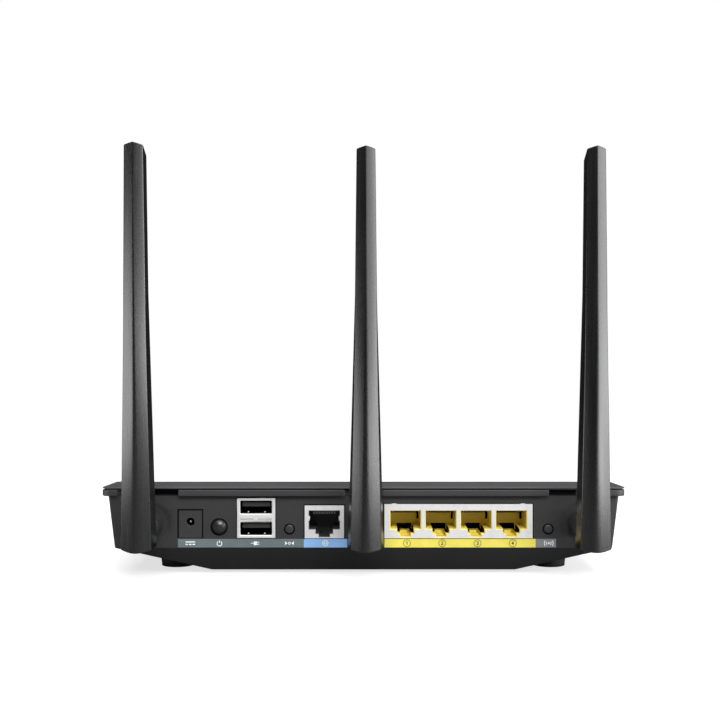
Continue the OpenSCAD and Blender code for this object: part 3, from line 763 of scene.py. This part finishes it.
def cover_groove_shade():
    """Near-black strips along the back between the cover and the rim, and in the gaps at its ends: painted shade
    in the groove and the gaps.
    """
    points, faces = joined([slab(COVER_SHADE_SPAN, (-52.45, -51.0), (34.28, 34.72)),
                            *[slab(gap, (-50.62, -50.4), (32.3, 34.32)) for gap in COVER_SHADE_GAPS]])
    return settle(mesh_piece("cover_groove_shade", points, faces), "case", "black_plastic", PAINTED_SHADE_BLACK)


wan_fittings()
lan_fittings()
usb_fittings()
cover_groove_shade()


# ---------------------------------------------------------------- printed marks

INK = 0.04
LABEL_FACE = corners("label_left")[0][1]
LABEL_MIDDLE = middle("label_left")[2]


def stroke(path, width, loop=False):
    """Rings of a flat bar of ink along a path in X and Z: at each point, a rectangle as wide as
    width across the path and INK deep."""
    path = np.asarray(path, float)
    if loop:
        ahead = np.roll(path, -1, axis=0) - np.roll(path, 1, axis=0)
    else:
        ahead = np.gradient(path, axis=0)
    ahead = ahead / np.linalg.norm(ahead, axis=1, keepdims=True)
    half = np.broadcast_to(np.asarray(width, float), len(path))[:, None] / 2
    side = np.stack([-ahead[:, 1], ahead[:, 0]], axis=-1) * half
    left, right = path + side, path - side

    def at(points, depth):
        return np.stack([points[:, 0], np.full(len(points), depth), points[:, 1]], axis=-1)

    rings = np.stack([at(left, 0.01), at(left, -INK), at(right, -INK), at(right, 0.01)], axis=1)
    return rings, loop


def arc(radius, start, end, centre=(0, 0), squash=1.0, count=28):
    """Points on an ellipse from one angle to another, counter-clockwise from +X."""
    angle = np.radians(np.linspace(start, end, count))
    return np.stack([centre[0] + radius * squash * np.cos(angle),
                     centre[1] + radius * np.sin(angle)], axis=-1)


def ring(radius, width, centre=(0, 0), squash=1.0):
    return stroke(arc(radius, 0, 360, centre, squash, 41)[:-1], width, True)


def mark(name, x, strokes, material=None):
    """A printed mark on the label strip, centred on x."""
    points, faces = joined(strokes)
    piece = mesh_piece(name, moved(points, (x, LABEL_FACE, LABEL_MIDDLE)), faces)
    return settle(piece, "case", "label_pale", material or PRINT_WHITE)


DIGITS = {
    1: [[(-0.3, 0.36), (0.06, 0.62)], [(0.06, 0.66), (0.06, -0.64)]],
    2: [[(-0.38, 0.3), (-0.26, 0.54), (0.02, 0.62), (0.3, 0.5), (0.36, 0.24), (0.2, -0.04), (-0.4, -0.56)],
        [(-0.44, -0.58), (0.42, -0.58)]],
    3: [[(-0.38, 0.42), (-0.16, 0.6), (0.14, 0.6), (0.34, 0.4), (0.26, 0.14), (-0.02, 0.03)],
        [(-0.02, 0.03), (0.3, -0.1), (0.38, -0.36), (0.18, -0.6), (-0.14, -0.62), (-0.4, -0.44)]],
    4: [[(0.18, 0.66), (0.18, -0.64)], [(0.16, 0.62), (-0.42, -0.2)], [(-0.46, -0.22), (0.46, -0.22)]],
}


def label_marks():
    """Plain symbols for the sockets and buttons: direct current, power, a plug, reset, a globe,
    the numbers of the network sockets in rings, and waves for pairing."""
    mark("mark_direct_current", middle("dc_jack")[0], [
        stroke([(-1.9, 0.5), (1.9, 0.5)], 0.42),
        stroke([(-1.9, -0.45), (-0.9, -0.45)], 0.42), stroke([(-0.5, -0.45), (0.5, -0.45)], 0.42),
        stroke([(0.9, -0.45), (1.9, -0.45)], 0.42)])
    mark("mark_power", middle("power_button")[0] + 0.15, [
        stroke(arc(0.95, 122, 418, (0, -0.12)), 0.3), stroke([(0, 0.1), (0, 1.15)], 0.3)])
    mark("mark_plug", USB_PORT, [
        stroke([(-2.0, 0), (-0.9, 0)], 0.28), stroke([(-0.9, 0), (0.3, 0)], 1.5),
        stroke([(0.3, 0.38), (1.25, 0.38)], 0.32), stroke([(0.3, -0.38), (1.25, -0.38)], 0.32)])
    mark("mark_reset", middle("reset_button")[0], [
        ring(0.42, 0.28), stroke([(-1.75, 0), (-0.8, 0)], (1.5, 0.1)),
        stroke([(0.8, 0), (1.75, 0)], (0.1, 1.5))])
    mark("mark_globe", WAN_PORT + 0.4, [
        ring(1.1, 0.26), ring(1.1, 0.2, squash=0.45), stroke([(-1.1, 0), (1.1, 0)], 0.2)])
    for number, x in enumerate(LAN_PORTS, 1):
        mark("mark_network_%d" % number, x + 0.55, [ring(1.38, 0.2)], PRINT_DARK)
        mark("mark_digit_%d" % number, x + 0.55, [stroke(line, 0.27) for line in DIGITS[number]], PRINT_DARK)
    mark("mark_pairing", middle("pairing_button")[0] + 0.2, [
        stroke(arc(0.25, 0, 180, count=9), 0.3), stroke(arc(0.25, 180, 360, count=9), 0.3),
        stroke(arc(0.95, -42, 42, count=12), 0.3), stroke(arc(0.95, 138, 222, count=12), 0.3),
        stroke(arc(1.75, -36, 36, count=14), 0.3), stroke(arc(1.75, 144, 216, count=14), 0.3)])


label_marks()


# ---------------------------------------------------------------- floor and light

def add_floor():
    """A wide pale floor that fades into the surround, keeps shadows faint and throws little light
    back up."""
    size = 3.0
    edges = [(-size, -size, 0), (size, -size, 0), (size, size, 0), (-size, size, 0)]
    floor = bpy.data.meshes.new("floor")
    floor.from_pydata(edges, [], [(0, 1, 2, 3)])
    piece = bpy.data.objects.new("floor", floor)
    bpy.context.scene.collection.objects.link(piece)
    paint = Paint("pale_floor")
    fade_at, fade_over = 420, 180
    seen = paint.node("ShaderNodeLightPath", output=0)
    cloud = paint.noise(400.0, 2.0)
    tone = paint.mix(cloud, rgb(0.43, 0.43, 0.43), rgb(0.45, 0.45, 0.45))
    tone = paint.mix(seen, rgb(0.11, 0.11, 0.11), tone)
    glow = paint.mix(seen, rgb(0.0, 0.0, 0.0), rgb(0.72, 0.72, 0.72))
    reach = paint.node("ShaderNodeVectorMath", {"operation": "LENGTH"}, {"Vector": paint.point()}, output=1)
    floor.materials.append(paint.finish(Base_Color=tone, Roughness=0.7,
                                        Alpha=1 - reach.above(fade_at, fade_over),
                                        Emission_Color=glow, Emission_Strength=1.0))


def add_light(name, place, aim, size, power):
    """A soft box at a place, turned to face a point."""
    data = bpy.data.lights.new(name, "AREA")
    data.shape = "RECTANGLE"
    data.size, data.size_y = size
    data.energy = power
    light = bpy.data.objects.new(name, data)
    start, end = np.array(place, float), np.array(aim, float)
    light.location = start
    light.rotation_euler = Vector(end - start).to_track_quat("-Z", "Y").to_euler()
    bpy.context.scene.collection.objects.link(light)


def add_world():
    """A white surround that lights the scene only faintly."""
    world = bpy.data.worlds.new("surround")
    world.use_nodes = True
    nodes, links = world.node_tree.nodes, world.node_tree.links
    back = nodes["Background"]
    back.inputs["Color"].default_value = rgb(1.0, 1.0, 1.0)
    seen = nodes.new("ShaderNodeLightPath")
    strength = nodes.new("ShaderNodeMapRange")
    strength.inputs["To Min"].default_value = 0.028
    strength.inputs["To Max"].default_value = 1.0
    links.new(seen.outputs["Is Camera Ray"], strength.inputs["Value"])
    links.new(strength.outputs["Result"], back.inputs["Strength"])
    bpy.context.scene.world = world


add_floor()
add_world()
# Name, place, aim, size in metres and power in watts
for soft_box in (
    ("left_card", (-0.75, -0.296, 0.057), (-0.649, -0.263, 1.05), (0.4, 1.0), 5.8),
    ("right_card", (0.76, -0.3, 0.057), (0.659, -0.267, 1.05), (0.55, 1.0), 7.5),
    ("right_near_card", (0.36, -0.44, 0.012), (0.33, -0.42, 1.0), (0.4, 0.4), 2.2),
    ("right_box", (1.16, -0.42, 0.5), (0, -0.08, 0.1), (0.7, 1.0), 10.5),
    ("right_fill", (0.95, -0.85, 0.5), (0, -0.08, 0.1), (0.4, 0.9), 2.2),
    ("front_box", (0.25, -1.3, 1.15), (0, 0, 0.05), (1.2, 0.8), 30),
    ("top_box", (0, -0.1, 1.5), (0, 0, 0), (1.6, 1.2), 24),
):
    add_light(*soft_box)
bpy.context.scene.view_settings.view_transform = "Standard"
